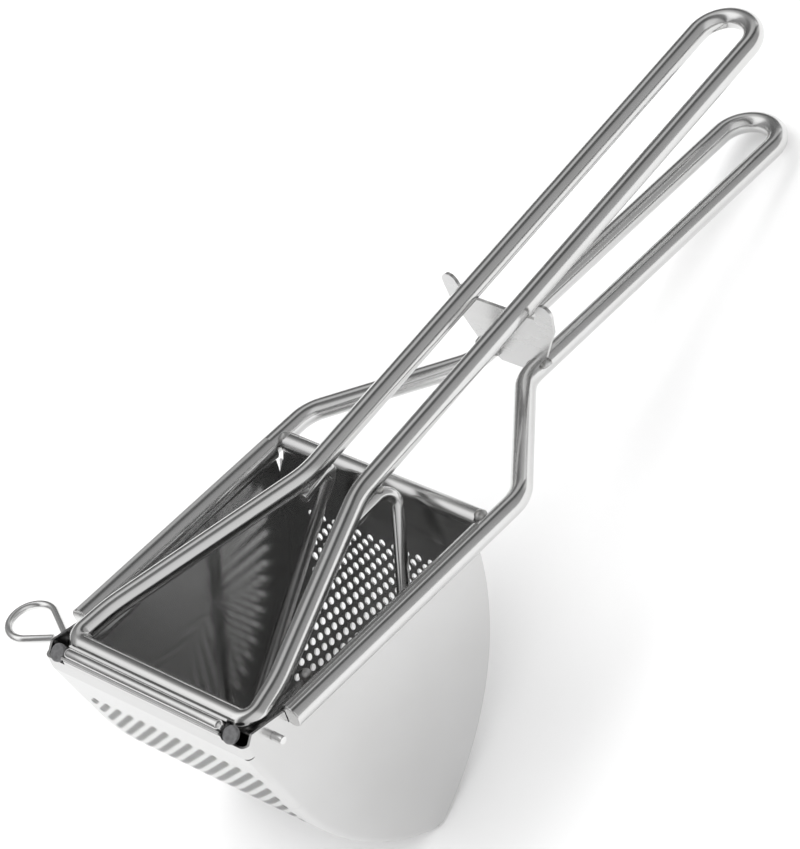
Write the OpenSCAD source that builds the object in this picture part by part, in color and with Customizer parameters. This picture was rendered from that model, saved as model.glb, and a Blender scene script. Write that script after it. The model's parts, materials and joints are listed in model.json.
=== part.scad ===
// Potato ricer: wedge-shaped perforated hopper, folded wire handles and a presser that
// swings about a removable pin. Drawn about the pin axis, then set down on its floor points.
// X runs across the hopper, Y towards the handle ends, Z up.

/* [Hopper] */
// half width over the outside faces of the side plates
hop_half = 50.1; // [46:0.1:54]
// sheet thickness of the side plates
side_t = 1; // [0.8:0.1:1.2]
// sheet thickness of the two perforated walls
sieve_t = 0.8; // [0.6:0.1:1]
// inside radius of the back wall about the pin
back_r = 104.7; // [100:0.1:106]
// bend radius where the front wall folds into the side plates
fold_r = 2.5; // [2:0.1:3]
// radius of the curved belly of the front wall
belly_r = 95.1; // [92:0.1:98]

/* [Perforation] */
// diameter of each round hole
hole_d = 2.8; // [2:0.1:3.2]
// spacing of the holes across a row
hole_pitch = 5.96; // [5.6:0.01:6.4]
// distance from the front crease to the first row of front holes
front_first = 17.4; // [14:0.1:22]
// number of rows of holes in the front wall
front_rows = 32; // [8:1:32]
// angle below the rim of the first row of back holes
back_first = 10.7; // [9:0.1:14]
// number of rows of holes in the back wall
back_rows = 30; // [8:1:30]

/* [Handles] */
// diameter of the handle rods
rod_d = 8; // [7.5:0.1:8]
// half spacing of the lower rod beside the hopper
frame_half = 52.5; // [52.4:0.1:53]
// half spacing of both handles at the grip
grip_half = 12.3; // [12:0.1:13]
// where the centre line of the loops ends along Y
loop_y = 335; // [300:1:350]
// angle of the upper handle over the lower one when closed
handle_angle = 7.75; // [7.6:0.05:7.9]
// diameter of the two struts that carry the presser plate
strut_d = 5; // [4:0.5:5]

/* [Hinge] */
// diameter of the removable hinge pin
pin_d = 3.1; // [2.8:0.1:3.1]
// radial running clearance of the pin
pin_play = 0.08; // [0.05:0.01:0.1]
// outside diameter of the tube the pin runs in
tube_d = 5.7; // [5.4:0.1:6]
// centre line radius of the eyelet on the pin
eye_r = 8.8; // [8:0.1:9.5]

/* [Hidden] */
$fn = 64;

rest_tilt = 17.5;
rest_shift = [11.915, -163.66, 103.65];

// pieces of one solid reach this far into a bend, whose surface stands a hair proud
lap = 0.3;
skin = 0.02;

rod_r = rod_d / 2;
strut_r = strut_d / 2;
pin_r = pin_d / 2;
inner_half = hop_half - side_t;
sieve_half = hop_half - fold_r;
frame_z = 3;

// section of the front wall in Y and Z: rim, crease, start of the belly
wall_top = [-12.8, 6.3];
crease = [-12.3, -1.1];
belly = [-1.8, -34.6];
wall_dir = (belly - crease) / norm(belly - crease);
wall_in = [-wall_dir.y, wall_dir.x];
wall_len = norm(belly - crease);
rim_dir = (wall_top - crease) / norm(wall_top - crease);
rim_in = [rim_dir.y, -rim_dir.x];
ear_front = crease + rim_dir * 5.5;
belly_c = belly + belly_r * wall_in;
belly_d = norm(belly_c);
belly_a = atan2(belly_c.y, belly_c.x);
belly_start = atan2(-wall_in.y, -wall_in.x);
back_out = back_r + sieve_t;

// angle about the belly centre where a belly radius meets a radius about the pin
function belly_end(r, pin_rad) =
    belly_a - acos((pin_rad * pin_rad - belly_d * belly_d - r * r) / (2 * belly_d * r));
// angle about the pin where a pin radius meets a belly radius
function back_low(pin_rad, r) =
    belly_a - acos((pin_rad * pin_rad + belly_d * belly_d - r * r) / (2 * belly_d * pin_rad));

// back rim: cross rod and the sheet rolled round it
back_rod_r = 3;
back_rod = [112, 3];
roll_gap = 0.05;
back_high = -5;
roll_from = -30;
roll_to = 195;
wide_share = 0.68;
rim_half = 47.2;

// holes in the shorter front rows and in the longer back rows
front_least = 14;
back_most = 13;

// front rim: cross rod lying in the turned edge of the front wall
front_rod_r = 2.1;
front_rod = [-10.4, 8.4];
front_rod_half = 39;
gutter_half = 39.2;
gutter_from = 190;
gutter_to = 385;
stud_r = 3.3;
stud_h = 1.4;
stud_x = 43;
stud_at = [-11.4, 7.7];
stud_lean = 37;

// hairline slits between the folded lengths of the front edge, wider at the crease
fold_slit = 0.05;
fold_relief = 0.7;

// side plate edge rolled over the frame rod
plate_top = -0.25;
curl_from = 7.7;
curl_to = 106.5;
curl_gap = 0.03;

// upper handle: crossbar just above the pin, legs closing in to the grip
bar_y = -3.2;
bar_z = 5.3;
bar_half = 44.3;
bar_bend = 5;
leg_knee = [41.2, 14];
leg_bend = 60;
neck_y = 91.2;
neck_bend = 30;
loop_bend = 12;
lean = tan(handle_angle);
strut_drop = (rod_r + strut_r) / cos(handle_angle);
function handle_z(y) = bar_z + lean * (y - bar_y);
function on_handle(x, y, drop) = [x, y, handle_z(y) - drop];

tube_half = 48.5;
plate_t = 1.6;
plate_half = 46.5;
plate_gap = sieve_t + 2;
plate_reach = 103.5;
plate_r = belly_r - plate_gap - plate_t;
plate_start = [-1.6, -3.4];
plate_knee = belly - wall_dir * 25.5 + wall_in * (plate_gap + plate_t / 2);
plate_low = belly + wall_in * (plate_gap + plate_t / 2);
strut_foot = [43.55, 48.9, -86.8];

cradle_y = 185.7;
cradle_t = 1.3;
cradle_top = 26.65;

// hinge pin: wire with an eyelet bent at its left end
pin_tip = 55;
pin_chamfer = 0.6;
pin_root = -53;
eye_x = -71.4;
eye_bend = 6;

function unit(v) = v / norm(v);
function bend_angle(a, b, c) = acos(unit(b - a) * unit(c - b));
function bend_trim(pts, rads, i) = i == 0 || i == len(pts) - 1 ? 0 :
    rads[i] * tan(bend_angle(pts[i - 1], pts[i], pts[i + 1]) / 2);
function mirror_x(pts) = [for (p = pts) [-p.x, p.y, p.z]];
function reversed(v) = [for (i = [len(v) - 1:-1:0]) v[i]];

// from the pin frame to the part standing on its floor points
module place() {
    translate(rest_shift)
        rotate([-rest_tilt, 0, 0])
            children();
}

// local x, y, z become Y, Z, X
module on_side() {
    rotate([90, 0, 90])
        children();
}

module both_sides() {
    children();
    mirror([1, 0, 0])
        children();
}

module rod_between(a, b, r) {
    d = b - a;
    translate(a)
        rotate([0, acos(d.z / norm(d)), atan2(d.y, d.x)])
            cylinder(r = r, h = norm(d));
}

module rod_bend(a, b, c, bend, r) {
    d1 = unit(b - a);
    d2 = unit(c - b);
    turn = acos(d1 * d2);
    mid = b + unit(d2 - d1) * bend / cos(turn / 2);
    u = unit(b - d1 * bend * tan(turn / 2) - mid);
    n = unit(cross(d1, d2));
    v = cross(n, u);
    multmatrix([[u.x, v.x, n.x, mid.x], [u.y, v.y, n.y, mid.y], [u.z, v.z, n.z, mid.z],
            [0, 0, 0, 1]])
        rotate_extrude(angle = turn)
            translate([bend, 0])
                circle(r = r + skin);
}

module bent_rod(pts, rads, r) {
    last = len(pts) - 1;
    for (i = [0:last - 1]) {
        d = unit(pts[i + 1] - pts[i]);
        a = pts[i] + d * (bend_trim(pts, rads, i) - (i == 0 ? 0 : lap));
        b = pts[i + 1] - d * (bend_trim(pts, rads, i + 1) - (i + 1 == last ? 0 : lap));
        rod_between(a, b, r);
    }
    for (i = [1:last - 1])
        rod_bend(pts[i - 1], pts[i], pts[i + 1], rads[i], r);
}

module capsule(a, b, r) {
    rod_between(a, b, r);
    translate(a)
        sphere(r = r);
    translate(b)
        sphere(r = r);
}

// flat strip in the Y Z plane from p to q, t thick
module strip(p, q, t) {
    translate(p)
        rotate(atan2(q.y - p.y, q.x - p.x))
            translate([0, -t / 2])
                square([norm(q - p), t]);
}

module flat_sheet(p, q, t, half) {
    on_side()
        translate([0, 0, -half])
            linear_extrude(2 * half)
                strip(p, q, t);
}

module curved_sheet(c, r_in, t, from, to, half) {
    on_side()
        translate([c.x, c.y, 0])
            rotate([0, 0, from])
                rotate_extrude(angle = to - from)
                    translate([r_in - skin / 2, -half])
                        square([t + skin, 2 * half]);
}

module hole_along(c, angle, r_in, x) {
    on_side()
        translate([c.x, c.y, x])
            rotate([0, 0, angle])
                translate([r_in - 1, 0, 0])
                    rotate([0, 90, 0])
                        cylinder(d = hole_d, h = sieve_t + 2);
}

// a row of n positions, centred
module across(n) {
    for (k = [0:n - 1])
        translate([(k - (n - 1) / 2) * hole_pitch, 0, 0])
            children();
}

module quarter_fold() {
    translate([-fold_r, -fold_r])
        intersection() {
            difference() {
                circle(r = fold_r + skin);
                circle(r = fold_r - side_t - skin);
            }
            square(fold_r + 1);
        }
}

module straight_fold(p, q) {
    on_side()
        translate([q.x, q.y, hop_half])
            rotate([0, 0, atan2(q.y - p.y, q.x - p.x) - 90])
                rotate([90, 0, 0])
                    linear_extrude(norm(q - p))
                        quarter_fold();
}

module side_outline() {
    flat_in = fold_r - lap / 2;
    difference() {
        intersection() {
            circle(r = back_out);
            union() {
                translate(belly_c)
                    circle(r = belly_r - flat_in);
                polygon([belly_c, belly + wall_in * (flat_in + 0.05), crease + wall_in * flat_in,
                    ear_front + rim_in * flat_in, [-5.9, 9.6], [20, 9.6], [110, 2]]);
            }
        }
        polygon([[-22.7, 10.2], [7.3, 4.8], [7.3, plate_top], [130, plate_top], [130, 130],
            [-22.7, 130]]);
        circle(r = pin_r + pin_play);
    }
}

module side_plate() {
    on_side()
        translate([0, 0, inner_half])
            linear_extrude(side_t)
                side_outline();
    straight_fold(ear_front, crease + rim_dir * fold_slit);
    straight_fold(crease + wall_dir * fold_relief, belly - wall_dir * fold_slit);
    on_side()
        translate([belly_c.x, belly_c.y, 0])
            rotate([0, 0, belly_start])
                rotate_extrude(angle = belly_end(belly_r, back_r - 0.1) - belly_start)
                    translate([belly_r, hop_half])
                        quarter_fold();
    translate([frame_half, curl_to, frame_z])
        rotate([90, 0, 0])
            linear_extrude(curl_to - curl_from)
                intersection() {
                    difference() {
                        circle(r = rod_r + curl_gap + side_t);
                        circle(r = rod_r + curl_gap);
                    }
                    polygon([[0, 0], [0, 9], [-9, 9], [-9, -9], [-7.6, -9]]);
                }
}

module left_side_plate() {
    color("gainsboro")
        place()
            mirror([1, 0, 0])
                side_plate();
}

module right_side_plate() {
    color("gainsboro")
        place()
            side_plate();
}

module front_row(i) {
    s = front_first + i * hole_pitch / 2;
    if (s < wall_len)
        across(front_least + i % 2)
            hole_along(crease + wall_dir * s + wall_in * 3, belly_start, 3 - sieve_t, 0);
    else
        across(front_least + i % 2)
            hole_along(belly_c, belly_start + (s - wall_len) * 180 / (PI * belly_r),
                belly_r - sieve_t, 0);
}

module front_sieve() {
    mid = wall_in * sieve_t / 2;
    rim = rim_in * sieve_t / 2;
    color("silver")
        place()
            difference() {
                union() {
                    curved_sheet(front_rod, front_rod_r + roll_gap, sieve_t, gutter_from,
                        gutter_to, gutter_half);
                    flat_sheet(wall_top + rim, ear_front + rim - rim_dir * lap, sieve_t - skin,
                        gutter_half);
                    flat_sheet(ear_front + rim, crease + rim - rim_dir * lap, sieve_t, sieve_half);
                    flat_sheet(crease + mid, belly + mid + wall_dir * lap, sieve_t, sieve_half);
                    curved_sheet(belly_c, belly_r - sieve_t, sieve_t, belly_start,
                        belly_end(belly_r, back_out), sieve_half);
                }
                for (i = [0:front_rows - 1])
                    front_row(i);
            }
}

module back_sieve() {
    high = back_r + sieve_t / 2;
    roll_r = back_rod_r + roll_gap;
    mid = roll_r + sieve_t / 2;
    from = high * [cos(back_high), sin(back_high)];
    to = back_rod + mid * [cos(roll_to), sin(roll_to)];
    wide = from + (to - from) * wide_share;
    color("silver")
        place()
            difference() {
                union() {
                    curved_sheet([0, 0], back_r, sieve_t, back_low(back_out, belly_r - sieve_t),
                        back_high, inner_half);
                    flat_sheet(from, to, sieve_t, rim_half);
                    flat_sheet(from, wide, sieve_t - skin, inner_half);
                    curved_sheet(back_rod, roll_r, sieve_t, roll_from, roll_to, rim_half);
                }
                for (i = [0:back_rows - 1])
                    across(back_most - i % 2)
                        hole_along([0, 0], -back_first - i * hole_pitch / 2 * 180 / (PI * back_out),
                            back_r, 0);
            }
}

module lower_handle_rod() {
    right = [[grip_half, loop_y, frame_z], [grip_half, 177.3, frame_z],
        [frame_half, 128, frame_z], [frame_half, 7.5, frame_z]];
    color("lightgray")
        place()
            bent_rod(concat(reversed(mirror_x(right)), right), [0, 16, 15, 12, 12, 15, 16, 0],
                rod_r);
}

module back_cross_rod() {
    color("lightgray")
        place()
            rod_between([-48.4, back_rod.x, back_rod.y], [48.4, back_rod.x, back_rod.y],
                back_rod_r);
}

module front_cross_rod() {
    reach = front_rod_half - front_rod_r;
    color("lightgray")
        place()
            capsule([-reach, front_rod.x, front_rod.y], [reach, front_rod.x, front_rod.y],
                front_rod_r);
}

module front_corner_studs() {
    color("dimgray")
        place()
            both_sides()
                translate([stud_x, stud_at.x, stud_at.y])
                    rotate([stud_lean, 0, 0])
                        translate([0, 0, -stud_h])
                            rotate_extrude()
                                polygon([[0, 0], [stud_r, 0], [stud_r, stud_h - 0.4],
                                    [stud_r - 0.4, stud_h], [0, stud_h]]);
}

module handle_cradle() {
    half = [[0, -0.5], [7, -0.5], [15.9, 6], [20.7, 15], [25.2, 23], [26.5, 30.8],
        [22.8, 30.8], [19.3, 32], [17, cradle_top], [0, cradle_top]];
    color("silver")
        place()
            translate([0, cradle_y + cradle_t / 2, 0])
                rotate([90, 0, 0])
                    linear_extrude(cradle_t)
                        difference() {
                            both_sides() {
                                polygon(half);
                                translate([22.8, 30.8])
                                    circle(r = 3.7);
                            }
                            both_sides()
                                translate([grip_half, frame_z])
                                    circle(r = rod_r);
                        }
}

module frame_welds() {
    color("darkgray")
        place()
            both_sides() {
                translate([48, back_rod.x, back_rod.y + 2])
                    sphere(r = 2.6);
                capsule([grip_half + 3.6, cradle_y - 1.5, frame_z + 2.6],
                    [grip_half + 4.2, cradle_y + 1.5, frame_z + 2.6], 1.3);
                capsule([grip_half - 4.4, cradle_y - 1.2, frame_z],
                    [grip_half - 4.4, cradle_y + 1.2, frame_z], 1.2);
            }
}

module upper_handle_rod() {
    right = [on_handle(grip_half, loop_y + 0.5, 0), on_handle(grip_half, neck_y, 0),
        on_handle(leg_knee.x, leg_knee.y, 0), on_handle(bar_half, bar_y, 0),
        on_handle(0, bar_y, 0)];
    color("lightgray")
        place()
            bent_rod(concat(reversed(mirror_x(right)), right),
                [0, bar_bend, leg_bend, neck_bend, loop_bend, loop_bend, neck_bend, leg_bend,
                bar_bend, 0], rod_r);
}

module hinge_tube() {
    color("darkgray")
        place()
            on_side()
                translate([0, 0, -tube_half])
                    difference() {
                        cylinder(d = tube_d, h = 2 * tube_half);
                        translate([0, 0, -1])
                            cylinder(r = pin_r + pin_play, h = 2 * tube_half + 2);
                    }
}

module strut() {
    bent_rod([on_handle(13, 86, strut_drop), on_handle(14.6, 107, strut_drop), strut_foot],
        [0, 5, 0], strut_r);
}

module left_strut() {
    color("lightgray")
        place()
            mirror([1, 0, 0])
                strut();
}

module right_strut() {
    color("lightgray")
        place()
            strut();
}

module presser_plate() {
    mid_r = plate_r + plate_t / 2;
    link = unit(plate_knee - plate_start);
    thick = [-link.y, link.x] * plate_t / 2;
    color("silver")
        place() {
            on_side()
                translate([0, 0, -plate_half])
                    linear_extrude(2 * plate_half)
                        difference() {
                            polygon([plate_start - thick, plate_knee - wall_in * plate_t / 2,
                                plate_low - wall_in * plate_t / 2 + wall_dir * lap,
                                plate_low + wall_in * plate_t / 2 + wall_dir * lap,
                                plate_knee + wall_in * plate_t / 2, plate_start + thick]);
                            circle(d = tube_d);
                        }
            curved_sheet(belly_c, plate_r, plate_t, belly_start, belly_end(mid_r, plate_reach - 0.8),
                plate_half);
        }
}

module presser_arms() {
    color("silver")
        place()
            both_sides()
                translate([41, 1.6, -0.6])
                    difference() {
                        cube([4, 24, 1.6]);
                        translate([-1, -1.6, 0.6])
                            rotate([0, 90, 0])
                                cylinder(d = tube_d, h = 6);
                    }
}

module presser_welds() {
    color("darkgray")
        place()
            both_sides() {
                translate([43, 25, 3.2])
                    sphere(r = 2.3);
                translate(on_handle(13.1, 88, rod_r + 0.6))
                    sphere(r = 1.9);
                translate(on_handle(14, 99, rod_r + 0.6))
                    sphere(r = 1.9);
                translate(strut_foot)
                    sphere(r = 3);
            }
}

module hinge_pin() {
    spread = asin(eye_r / (pin_root - eye_x));
    lean_x = eye_r * sin(spread);
    lean_y = eye_r * cos(spread);
    way = [-cos(spread), sin(spread), 0];
    trim = eye_bend * tan(spread / 2);
    shaft = pin_tip - pin_root - trim + lap;
    root = [pin_root, 0, 0];
    touch = [eye_x + lean_x, lean_y, 0];
    color("lightgray")
        place() {
            translate([pin_root + trim - lap, 0, 0])
                rotate([0, 90, 0])
                    rotate_extrude()
                        polygon([[0, 0], [pin_r, 0], [pin_r, shaft - pin_chamfer],
                            [pin_r - pin_chamfer, shaft], [0, shaft]]);
            rod_bend([pin_tip, 0, 0], root, root + way * 10, eye_bend, pin_r);
            rod_between(root + way * (trim - lap), touch + way * lap, pin_r);
            translate([eye_x, 0, 0])
                rotate([0, 0, 90 - spread])
                    rotate_extrude(angle = 180 + 2 * spread)
                        translate([eye_r, 0])
                            circle(r = pin_r + skin);
            rod_between([touch.x, -touch.y, 0] + lap * [way.x, -way.y, 0],
                root + 5 * [way.x, -way.y, 0], pin_r);
        }
}

left_side_plate();
right_side_plate();
front_sieve();
back_sieve();
lower_handle_rod();
back_cross_rod();
front_cross_rod();
front_corner_studs();
handle_cradle();
frame_welds();
upper_handle_rod();
hinge_tube();
left_strut();
right_strut();
presser_plate();
presser_arms();
presser_welds();
hinge_pin();
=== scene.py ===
import bpy, json, math
import numpy as np
from mathutils import Matrix, Vector


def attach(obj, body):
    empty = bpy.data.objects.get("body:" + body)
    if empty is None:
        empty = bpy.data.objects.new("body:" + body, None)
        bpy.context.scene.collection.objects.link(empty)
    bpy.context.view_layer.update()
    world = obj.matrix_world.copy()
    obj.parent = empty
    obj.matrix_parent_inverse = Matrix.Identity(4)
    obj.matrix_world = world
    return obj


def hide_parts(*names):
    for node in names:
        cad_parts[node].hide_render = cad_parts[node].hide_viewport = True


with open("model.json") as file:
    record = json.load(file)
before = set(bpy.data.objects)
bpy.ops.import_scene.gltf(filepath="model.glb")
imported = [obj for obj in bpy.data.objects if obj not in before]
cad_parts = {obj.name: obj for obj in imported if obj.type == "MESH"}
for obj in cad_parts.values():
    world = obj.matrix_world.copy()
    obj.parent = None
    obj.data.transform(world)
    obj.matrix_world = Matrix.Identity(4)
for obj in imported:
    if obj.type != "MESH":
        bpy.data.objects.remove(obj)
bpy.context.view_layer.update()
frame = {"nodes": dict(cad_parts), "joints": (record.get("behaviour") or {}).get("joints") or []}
NODES = frame["nodes"]
scene = bpy.context.scene

# ------------------------------------------------------------------ drawing frame
# Sizes below are in millimetres about the hinge pin: X across, Y to the handle ends, Z off the
# rim. TO_ROW tilts them to the resting pose and turns them into metres.
JOINTS = {j["name"]: j for j in frame["joints"]}
PIN = Vector(JOINTS["presser_hinge"]["pos_m"])
TILT = math.radians(-17.5)
TO_ROW = Matrix.Translation(PIN) @ Matrix.Rotation(TILT, 4, "X") @ Matrix.Scale(0.001, 4)
FROM_ROW = TO_ROW.inverted()

ROD = 4.0
FRAME_Z = 3.0
FRAME_HALF = 52.5
GRIP = 12.3
LEAN = math.tan(math.radians(7.75))
BAR_Y, BAR_Z = -3.2, 5.3
STRUT = 2.5
BACK_ROD = 3.0
FRONT_ROD = 2.1
WIRE = 1.55
SIEVE_T = 0.8
PLATE_T = 1.6
PLATE_GAP = 2.8
CREASE = Vector((-12.3, -1.1))
BELLY = Vector((-1.8, -34.6))
BELLY_R = 95.1
BACK_R = 104.7
WALL = (BELLY - CREASE).normalized()
WALL_IN = Vector((-WALL.y, WALL.x))
BELLY_C = BELLY + WALL_IN * BELLY_R


def handle_z(y):
    return BAR_Z + LEAN * (y - BAR_Y)


# ------------------------------------------------------------------ camera
def make_camera():
    cam = bpy.data.cameras.new("camera")
    cam.sensor_fit = "HORIZONTAL"
    cam.sensor_width = 36
    cam.lens = 178.06
    cam.clip_end = 20
    ob = bpy.data.objects.new("camera", cam)
    scene.collection.objects.link(ob)
    aim = Vector((-0.009321, -0.028602, 0.05789))
    distance = 1.428135
    az, el, roll = math.radians(67.711), math.radians(46.495), math.radians(-39.243)
    back = Vector((math.sin(az) * math.cos(el), -math.cos(az) * math.cos(el), math.sin(el)))
    turn = (-back).to_track_quat("-Z", "Y").to_matrix()
    right = turn.col[0] * math.cos(roll) + turn.col[1] * math.sin(roll)
    up = turn.col[1] * math.cos(roll) - turn.col[0] * math.sin(roll)
    m = Matrix((right, up, back)).transposed().to_4x4()
    m.translation = aim + back * distance
    ob.matrix_world = m
    scene.camera = ob


# ------------------------------------------------------------------ materials
def new_material(name):
    m = bpy.data.materials.new(name)
    m.use_nodes = True
    return m, m.node_tree.nodes, m.node_tree.links, m.node_tree.nodes["Principled BSDF"]


def noise(nodes, links, coord, scale, detail=3.0, rough=0.5, stretch=(1, 1, 1)):
    mp = nodes.new("ShaderNodeMapping")
    mp.inputs["Scale"].default_value = stretch
    links.new(coord, mp.inputs["Vector"])
    n = nodes.new("ShaderNodeTexNoise")
    n.inputs["Scale"].default_value = scale
    n.inputs["Detail"].default_value = detail
    n.inputs["Roughness"].default_value = rough
    links.new(mp.outputs["Vector"], n.inputs["Vector"])
    return n.outputs["Fac"]


def ramp(nodes, links, fac, stops):
    r = nodes.new("ShaderNodeValToRGB")
    e = r.color_ramp.elements
    e[0].position, e[0].color = stops[0][0], stops[0][1]
    e[1].position, e[1].color = stops[-1][0], stops[-1][1]
    for pos, col in stops[1:-1]:
        k = e.new(pos)
        k.color = col
    links.new(fac, r.inputs["Fac"])
    return r.outputs["Color"]


def grey(v, warm=0.0):
    """A grey of value v, a little yellow when warm is above nought."""
    return (v + warm * 0.5, v, v - warm, 1.0)


def remap(nodes, links, fac, lo, hi):
    """Spreads the middle of a noise value over lo to hi."""
    r = nodes.new("ShaderNodeMapRange")
    r.inputs["From Min"].default_value = 0.3
    r.inputs["From Max"].default_value = 0.7
    r.inputs["To Min"].default_value = lo
    r.inputs["To Max"].default_value = hi
    links.new(fac, r.inputs["Value"])
    return r.outputs["Result"]


def mix_value(nodes, links, a, b, weight):
    """a + b * weight."""
    m = nodes.new("ShaderNodeMath")
    m.operation = "MULTIPLY_ADD"
    m.inputs[1].default_value = weight
    links.new(b, m.inputs[0])
    links.new(a, m.inputs[2])
    return m.outputs[0]


def bump(nodes, links, bsdf, height, strength, distance, before=None):
    b = nodes.new("ShaderNodeBump")
    b.inputs["Strength"].default_value = strength
    b.inputs["Distance"].default_value = distance
    links.new(height, b.inputs["Height"])
    if before is not None:
        links.new(before, b.inputs["Normal"])
    links.new(b.outputs["Normal"], bsdf.inputs["Normal"])
    return b.outputs["Normal"]


def rod_material(name, tone, rough_lo, rough_hi):
    """Polished drawn rod: fine lines along the wire, faint smudges and a fine grain."""
    m, nodes, links, bsdf = new_material(name)
    bsdf.inputs["Metallic"].default_value = 1.0
    uv = nodes.new("ShaderNodeUVMap").outputs["UV"]
    ob = nodes.new("ShaderNodeTexCoord").outputs["Object"]
    lines = noise(nodes, links, uv, 1.0, 2.0, 0.6, (46, 2.2, 1))
    smudge = noise(nodes, links, ob, 34.0, 4.0, 0.6)
    fine = noise(nodes, links, ob, 900.0, 2.0, 0.5)
    stops = [(0.3, grey(tone - 0.03, 0.006)), (0.7, grey(tone))]
    links.new(ramp(nodes, links, smudge, stops), bsdf.inputs["Base Color"])
    both = mix_value(nodes, links, smudge, lines, 0.35)
    links.new(remap(nodes, links, both, rough_lo, rough_hi), bsdf.inputs["Roughness"])
    n1 = bump(nodes, links, bsdf, lines, 0.05, 0.0002)
    bump(nodes, links, bsdf, fine, 0.02, 0.00005, n1)
    return m


def sheet_material(name, tone, rough_lo, rough_hi, stretch, grain=0.10, one_way=0.0):
    """Stainless sheet: a fine grain, cloudy smudges and scratches. one_way is how strongly the
    grain draws out reflections."""
    m, nodes, links, bsdf = new_material(name)
    bsdf.inputs["Metallic"].default_value = 1.0
    ob = nodes.new("ShaderNodeTexCoord").outputs["Object"]
    lines = noise(nodes, links, ob, 60.0, 3.0, 0.65, stretch)
    cloud = noise(nodes, links, ob, 22.0, 4.0, 0.55)
    scratch = noise(nodes, links, ob, 18.0, 2.0, 0.5, tuple(s * 2.5 for s in stretch))
    stops = [(0.3, grey(tone - 0.035, 0.004)), (0.7, grey(tone))]
    links.new(ramp(nodes, links, cloud, stops), bsdf.inputs["Base Color"])
    both = mix_value(nodes, links, cloud, lines, 0.5)
    links.new(remap(nodes, links, both, rough_lo, rough_hi), bsdf.inputs["Roughness"])
    if one_way:
        tangent = nodes.new("ShaderNodeTangent")
        tangent.direction_type = "RADIAL"
        tangent.axis = "X"
        links.new(tangent.outputs["Tangent"], bsdf.inputs["Tangent"])
        bsdf.inputs["Anisotropic"].default_value = one_way
        bsdf.inputs["Anisotropic Rotation"].default_value = 0.25
    n1 = bump(nodes, links, bsdf, lines, grain, 0.00012)
    bump(nodes, links, bsdf, scratch, grain * 0.5, 0.0001, n1)
    return m


def weld_material():
    """Cleaned weld metal: dull, lumpy, with faint grey heat colours."""
    m, nodes, links, bsdf = new_material("weld_metal")
    bsdf.inputs["Metallic"].default_value = 1.0
    ob = nodes.new("ShaderNodeTexCoord").outputs["Object"]
    blot = noise(nodes, links, ob, 420.0, 4.0, 0.6)
    stops = [(0.25, grey(0.20)), (0.45, grey(0.38, 0.01)), (0.6, grey(0.53)), (0.8, grey(0.70))]
    links.new(ramp(nodes, links, blot, stops), bsdf.inputs["Base Color"])
    links.new(remap(nodes, links, blot, 0.28, 0.5), bsdf.inputs["Roughness"])
    bump(nodes, links, bsdf, noise(nodes, links, ob, 900.0, 3.0, 0.6), 0.35, 0.0003)
    return m


def stud_material():
    """Dark sawn rod end with a fine grain."""
    m, nodes, links, bsdf = new_material("dark_stud")
    bsdf.inputs["Metallic"].default_value = 0.85
    ob = nodes.new("ShaderNodeTexCoord").outputs["Object"]
    grain = noise(nodes, links, ob, 700.0, 4.0, 0.6)
    stops = [(0.3, (0.15, 0.15, 0.153, 1)), (0.7, (0.27, 0.27, 0.275, 1))]
    links.new(ramp(nodes, links, grain, stops), bsdf.inputs["Base Color"])
    links.new(remap(nodes, links, grain, 0.42, 0.6), bsdf.inputs["Roughness"])
    bump(nodes, links, bsdf, grain, 0.3, 0.0003)
    return m


MAT_ROD = rod_material("polished_rod", 0.67, 0.10, 0.20)
MAT_WIRE = rod_material("pin_wire", 0.76, 0.12, 0.24)
MAT_SIDE = sheet_material("side_sheet", 0.64, 0.11, 0.17, (1, 0.06, 6), 0.06, 0.85)
MAT_SIEVE = sheet_material("sieve_sheet", 0.62, 0.13, 0.22, (0.06, 4, 4), 0.05)
MAT_PRESS = sheet_material("presser_sheet", 0.56, 0.08, 0.15, (0.06, 4, 4), 0.03)
MAT_CRADLE = sheet_material("cradle_sheet", 0.66, 0.16, 0.28, (0.1, 3, 3))
MAT_WELD = weld_material()
MAT_STUD = stud_material()


# ------------------------------------------------------------------ mesh helpers
SHARP = math.radians(50)


def place_piece(name, me, material, body, node):
    """Puts a mesh into the scene in place of a CAD node."""
    me.materials.clear()
    me.materials.append(material)
    ob = bpy.data.objects.new(name, me)
    scene.collection.objects.link(ob)
    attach(ob, body)
    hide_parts(node)


def mesh_from(name, verts, faces, uvs):
    me = bpy.data.meshes.new(name)
    me.from_pydata([TO_ROW @ Vector(v) for v in verts], [], faces)
    layer = me.uv_layers.new(name="UVMap")
    for i, uv in enumerate(uvs):
        layer.data[i].uv = uv
    me.validate()
    for p in me.polygons:
        p.use_smooth = True
    me.set_sharp_from_angle(angle=SHARP)
    return me


def rounded_path(points, radii, step=3.0):
    """The centre line through points, with each inner corner rounded to its radius."""
    P = [Vector(p) for p in points]
    out = [P[0]]
    for i in range(1, len(P) - 1):
        d1 = (P[i] - P[i - 1]).normalized()
        d2 = (P[i + 1] - P[i]).normalized()
        turn = d1.angle(d2)
        start = P[i] - d1 * radii[i] * math.tan(turn / 2)
        mid = P[i] + (d2 - d1).normalized() * radii[i] / math.cos(turn / 2)
        axis = d1.cross(d2).normalized()
        n = max(4, int(math.degrees(turn) / step))
        for k in range(n + 1):
            out.append(mid + Matrix.Rotation(turn * k / n, 3, axis) @ (start - mid))
    out.append(P[-1])
    return out


RING_GAP = 12
END_RINGS = 6
TANGENT_STEP = 0.05


def path_lengths(path):
    """Length of the path up to each of its points."""
    lengths = [0.0]
    for a, b in zip(path, path[1:]):
        lengths.append(lengths[-1] + (b - a).length)
    return lengths


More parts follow.
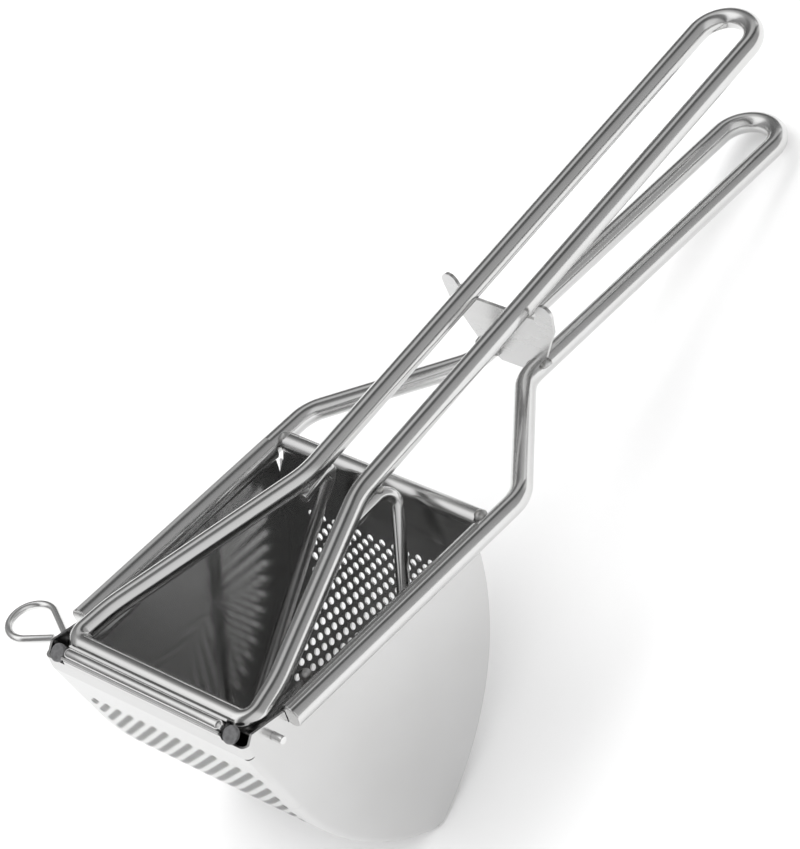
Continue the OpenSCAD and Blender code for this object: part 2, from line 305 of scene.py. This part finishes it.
def ring_marks(lengths):
    """Places of the rings: every point of the path, with more along its straight stretches."""
    marks = []
    for i, s in enumerate(lengths):
        marks.append(s)
        if i + 1 < len(lengths):
            gap = lengths[i + 1] - s
            extra = int(gap / RING_GAP)
            for k in range(1, extra + 1):
                marks.append(s + gap * k / (extra + 1))
    return marks


def open_rings(lengths, radius, ease, round_ends):
    """Place and radius of each ring of a rod whose ends are eased, or rounded to a dome."""
    total = lengths[-1]
    e = radius if round_ends else ease
    end = []
    for k in range(END_RINGS + 1):
        t = math.radians(90 * k / END_RINGS)
        r = radius * math.cos(t) if round_ends else radius - e + e * math.cos(t)
        end.append((e * (1 - math.sin(t)), r))
    head = end[::-1]
    body = [(s, radius) for s in ring_marks(lengths) if e < s < total - e]
    tail = [(total - s, r) for s, r in end]
    return head + body + tail


def point_at(path, lengths, s):
    for i in range(len(path) - 1):
        if s <= lengths[i + 1] + 1e-9:
            t = (s - lengths[i]) / max(lengths[i + 1] - lengths[i], 1e-9)
            return path[i].lerp(path[i + 1], t)
    return path[-1]


def tangent_at(path, lengths, s):
    a = point_at(path, lengths, max(0.0, s - TANGENT_STEP))
    b = point_at(path, lengths, min(lengths[-1], s + TANGENT_STEP))
    return (b - a).normalized()


CAP_UV = 0.05
UV_SPAN = 40


def tube(name, path, radius, body, material, node, seg=48, ease=0.4,
         round_ends=False, closed=False):
    """A round rod along a path, open or closed, with one ring of seg points at each mark."""
    lengths = path_lengths(path)
    total = lengths[-1]
    if closed:
        rings = [(s, radius) for s in ring_marks(lengths)[:-1]]
    else:
        rings = open_rings(lengths, radius, ease, round_ends)

    verts, faces, uvs = [], [], []
    normal = None
    for s, r in rings:
        c = point_at(path, lengths, s)
        t = tangent_at(path, lengths, s)
        if closed and s == 0:
            t = ((path[1] - path[0]).normalized() + (path[-1] - path[-2]).normalized()).normalized()
        if normal is None:
            normal = Vector((0, 0, 1)) if abs(t.z) < 0.9 else Vector((1, 0, 0))
        normal = (normal - t * normal.dot(t)).normalized()
        side = t.cross(normal)
        for k in range(seg):
            a = 2 * math.pi * k / seg
            verts.append(c + (normal * math.cos(a) + side * math.sin(a)) * r)

    count = len(rings)
    for i in range(count if closed else count - 1):
        a, b = i * seg, (i + 1) % count * seg
        v0 = rings[i][0] / UV_SPAN
        v1 = (rings[i + 1][0] if i + 1 < count else total) / UV_SPAN
        for k in range(seg):
            k2 = (k + 1) % seg
            faces.append((a + k, a + k2, b + k2, b + k))
            u0, u1 = k / seg, (k + 1) / seg
            uvs += [(u0, v0), (u1, v0), (u1, v1), (u0, v1)]
    if not closed:
        for ring, order in ((0, -1), ((count - 1) * seg, 1)):
            loop = [ring + k for k in range(seg)][::order]
            faces.append(tuple(loop))
            for v in loop:
                a = 2 * math.pi * (v - ring) / seg
                uvs.append((0.5 + CAP_UV * math.cos(a), CAP_UV * math.sin(a)))
    place_piece(name, mesh_from(name, verts, faces, uvs), material, body, node)


def mirrored(points):
    return [Vector((-p[0], p[1], p[2])) for p in points]


# ------------------------------------------------------------------ rods
def on_handle(x, y, drop=0.0):
    """A point on the upper handle's centre plane, or drop below it."""
    return Vector((x, y, handle_z(y) - drop))


def make_lower_handle():
    right = [Vector((GRIP, 335, FRAME_Z)), Vector((GRIP, 177.3, FRAME_Z)),
             Vector((FRAME_HALF, 128, FRAME_Z)), Vector((FRAME_HALF, 7.5, FRAME_Z))]
    path = rounded_path(mirrored(right)[::-1] + right, [0, 16, 15, 12.2, 12.2, 15, 16, 0])
    tube("lower_handle", path, ROD, "frame", MAT_ROD, "lower_handle_rod", ease=0.5)


def make_upper_handle():
    right = [on_handle(GRIP, 335.5), on_handle(GRIP, 91.2), on_handle(41.2, 14),
             on_handle(44.3, BAR_Y), on_handle(0, BAR_Y)]
    path = rounded_path(mirrored(right)[::-1] + right, [0, 5, 60, 30, 12, 12, 30, 60, 5, 0])
    tube("upper_handle", path, ROD, "presser", MAT_ROD, "upper_handle_rod", closed=True)


def make_struts():
    drop = (ROD + STRUT) / math.cos(math.atan(LEAN))
    right = [on_handle(13, 86, drop), on_handle(14.6, 107, drop), Vector((43.55, 48.9, -86.8))]
    for node, points in (("right_strut", right), ("left_strut", mirrored(right))):
        path = rounded_path(points, [0, 5, 0])
        tube(node + "_wire", path, STRUT, "presser", MAT_ROD, node, seg=36)


def make_cross_rods():
    back = [Vector((x, 112, 3)) for x in (-48.4, 48.4)]
    front = [Vector((x, -10.4, 8.4)) for x in (-39, 39)]
    tube("back_rod", back, BACK_ROD, "frame", MAT_ROD, "back_cross_rod", seg=40)
    tube("front_rod", front, FRONT_ROD, "frame", MAT_ROD, "front_cross_rod", seg=36, round_ends=True)


def make_pin():
    """The wire runs from its tip to the root, round the eye and back to just short of the root."""
    tip, root, eye, eye_r = 55.0, -53.0, -71.4, 8.8
    bend, steps, stop_short = 6, 72, 5
    spread = math.asin(eye_r / (root - eye))
    way = Vector((-math.cos(spread), math.sin(spread), 0))
    back = Vector((way.x, -way.y, 0))
    start = Vector((root, 0, 0))
    path = rounded_path([Vector((tip, 0, 0)), start, start + way * 10], [0, bend, 0])[:-1]
    first = math.pi / 2 - spread
    turn = math.pi + 2 * spread
    for k in range(steps + 1):
        a = first + turn * k / steps
        path.append(Vector((eye + eye_r * math.cos(a), eye_r * math.sin(a), 0)))
    path.append(start + back * stop_short)
    tube("hinge_pin_wire", path, WIRE, "pin", MAT_WIRE, "hinge_pin", seg=32)


# ------------------------------------------------------------------ CAD surfaces kept, with exact shading
SOFT = math.cos(math.radians(32))
ARC_FIT = 0.08
ARC_FACING = 0.97


def smooth_normals(points, tri, face_normals, areas):
    """Corner normals: the mean over the faces at a point whose normals lie close enough together.
    SOFT is the cosine of the limit."""
    key = np.unique(np.round(points, 3), axis=0, return_inverse=True)[1].reshape(-1)
    at = key[tri].reshape(-1)
    order = np.argsort(at, kind="stable")
    bounds = np.searchsorted(at[order], np.arange(key.max() + 2))
    out = np.repeat(face_normals[:, None, :], 3, axis=1)
    for v in range(key.max() + 1):
        idx = order[bounds[v]:bounds[v + 1]]
        f = idx // 3
        near = (face_normals[f] @ face_normals[f].T) > SOFT
        mean = near @ (face_normals[f] * areas[f][:, None])
        mean /= np.linalg.norm(mean, axis=1)[:, None] + 1e-12
        out[f, idx % 3] = mean
    return out


def arc_normals(out, corners, face_normals, arcs):
    """Faces that lie on one of the arcs, given as (y, z, radius), take its exact normals."""
    for cy, cz, radius in arcs:
        d = corners[:, :, 1:] - np.array([cy, cz])
        r = np.linalg.norm(d, axis=2)
        fits = (np.abs(r - radius) < ARC_FIT).all(axis=1)
        n = np.zeros_like(corners)
        n[:, :, 1:] = d / r[:, :, None]
        facing = (n.mean(axis=1) * face_normals).sum(axis=1)
        use = fits & (np.abs(facing) > ARC_FACING)
        out[use] = n[use] * np.sign(facing)[use][:, None, None]


def shaded_copy(node, name, material, body, arcs=()):
    """A copy of a CAD node whose shading follows the true curved surfaces it was cut from."""
    me = NODES[node].data.copy()
    me.name = name
    co = np.empty(len(me.vertices) * 3, np.float64)
    me.vertices.foreach_get("co", co)
    to_drawing = np.array(FROM_ROW)
    points = co.reshape(-1, 3) @ to_drawing[:3, :3].T + to_drawing[:3, 3]
    tri = np.empty(len(me.loops), np.int64)
    me.loops.foreach_get("vertex_index", tri)
    tri = tri.reshape(-1, 3)
    corners = points[tri]
    cross = np.cross(corners[:, 1] - corners[:, 0], corners[:, 2] - corners[:, 0])
    areas = np.linalg.norm(cross, axis=1) + 1e-12
    face_normals = cross / areas[:, None]
    out = smooth_normals(points, tri, face_normals, areas)
    arc_normals(out, corners, face_normals, arcs)
    turn = np.array(TO_ROW.to_3x3().normalized())
    for p in me.polygons:
        p.use_smooth = True
    me.normals_split_custom_set([tuple(n) for n in out.reshape(-1, 3) @ turn.T])
    place_piece(name, me, material, body, node)


def make_sheets():
    hair = 0.01
    belly = (BELLY_C.x, BELLY_C.y)
    arcs = [(*belly, BELLY_R + hair), (*belly, BELLY_R - SIEVE_T - hair), (0, 0, BACK_R - hair),
            (0, 0, BACK_R + SIEVE_T + hair)]
    plate_r = BELLY_R - PLATE_GAP - PLATE_T
    plate_arcs = [(*belly, plate_r - hair), (*belly, plate_r + PLATE_T + hair)]
    shaded_copy("front_sieve", "hopper_front", MAT_SIEVE, "frame", arcs)
    shaded_copy("back_sieve", "hopper_back", MAT_SIEVE, "frame", arcs)
    for side in ("left", "right"):
        shaded_copy(side + "_side_plate", "hopper_" + side, MAT_SIDE, "frame")
    shaded_copy("presser_plate", "presser_sheet", MAT_PRESS, "presser", plate_arcs)
    shaded_copy("presser_arms", "presser_side_arms", MAT_SIDE, "presser")
    shaded_copy("hinge_tube", "hinge_sleeve", MAT_WELD, "presser")
    shaded_copy("front_corner_studs", "corner_studs", MAT_STUD, "frame")
    shaded_copy("handle_cradle", "cradle", MAT_CRADLE, "frame")
    shaded_copy("frame_welds", "hopper_welds", MAT_WELD, "frame")
    shaded_copy("presser_welds", "strut_welds", MAT_WELD, "presser")


# ------------------------------------------------------------------ floor and light
# Brightness of the studio round the tool's long axis, from the right (0) over the top (0.5) to
# the left (1), and along it, from the front (0) to the handle ends (1).
ROUND_Y = [(0.0, 0.85), (0.2, 0.8), (0.36, 0.74), (0.44, 0.22), (0.55, 0.18), (0.62, 1.2),
           (0.72, 1.2), (0.80, 0.35), (1.0, 0.2)]
ALONG_Y = [(0.0, 0.6), (0.35, 1.0), (0.55, 1.0), (0.72, 0.52), (0.95, 0.45), (1.0, 0.9)]
SKY = 1.1
PANEL_POWER, PANEL_ANGLE, PANEL_FROM = 0.5, 42, (-0.55, 0.0, 0.83)
FILL_POWER, FILL_ANGLE, FILL_FROM = 2.2, 175, (0, 0, 1)
FLOOR_HALF = 4
FLOOR_DROP = 0.0004


def make_floor():
    corners = [(x * FLOOR_HALF, y * FLOOR_HALF, -FLOOR_DROP)
               for x, y in ((-1, -1), (1, -1), (1, 1), (-1, 1))]
    me = bpy.data.meshes.new("floor")
    me.from_pydata(corners, [], [(0, 1, 2, 3)])
    m, _, _, bsdf = new_material("pale_floor")
    bsdf.inputs["Base Color"].default_value = (0.93, 0.93, 0.93, 1)
    bsdf.inputs["Roughness"].default_value = 0.9
    bsdf.inputs["Specular IOR Level"].default_value = 0.1
    me.materials.append(m)
    ob = bpy.data.objects.new("floor", me)
    scene.collection.objects.link(ob)


def make_studio():
    """The surroundings: one brightness round the long axis times another along it."""
    w = bpy.data.worlds.new("studio")
    scene.world = w
    w.use_nodes = True
    nodes, links = w.node_tree.nodes, w.node_tree.links
    bg = nodes["Background"]
    sep = nodes.new("ShaderNodeSeparateXYZ")
    links.new(nodes.new("ShaderNodeTexCoord").outputs["Generated"], sep.inputs[0])

    def math_node(op, a, b):
        n = nodes.new("ShaderNodeMath")
        n.operation = op
        for socket, v in zip(n.inputs, (a, b)):
            if isinstance(v, (int, float)):
                socket.default_value = v
            else:
                links.new(v, socket)
        return n.outputs[0]

    def shade(fac, stops):
        out = ramp(nodes, links, fac, [(pos, grey(v)) for pos, v in stops])
        out.node.color_ramp.interpolation = "EASE"
        return out

    round_y = math_node("DIVIDE", math_node("ARCTAN2", sep.outputs["Z"], sep.outputs["X"]), math.pi)
    along_y = math_node("ADD", math_node("MULTIPLY", sep.outputs["Y"], 0.5), 0.5)
    mul = nodes.new("ShaderNodeMix")
    mul.data_type = "RGBA"
    mul.blend_type = "MULTIPLY"
    mul.inputs["Factor"].default_value = 1.0
    links.new(shade(round_y, ROUND_Y), mul.inputs["A"])
    links.new(shade(along_y, ALONG_Y), mul.inputs["B"])
    links.new(mul.outputs["Result"], bg.inputs["Color"])
    bg.inputs["Strength"].default_value = SKY


def sun(name, power, angle, towards):
    """A soft sun that lights the floor but is not seen in the metal's reflections."""
    light = bpy.data.lights.new(name, "SUN")
    light.energy = power
    light.angle = math.radians(angle)
    ob = bpy.data.objects.new(name, light)
    scene.collection.objects.link(ob)
    ob.rotation_euler = Vector(towards).to_track_quat("Z", "Y").to_euler()
    ob.visible_glossy = False


make_camera()
make_lower_handle()
make_upper_handle()
make_struts()
make_cross_rods()
make_pin()
make_sheets()
make_floor()
make_studio()
sun("panel", PANEL_POWER, PANEL_ANGLE, PANEL_FROM)
sun("floor_fill", FILL_POWER, FILL_ANGLE, FILL_FROM)
scene.view_settings.view_transform = "Standard"
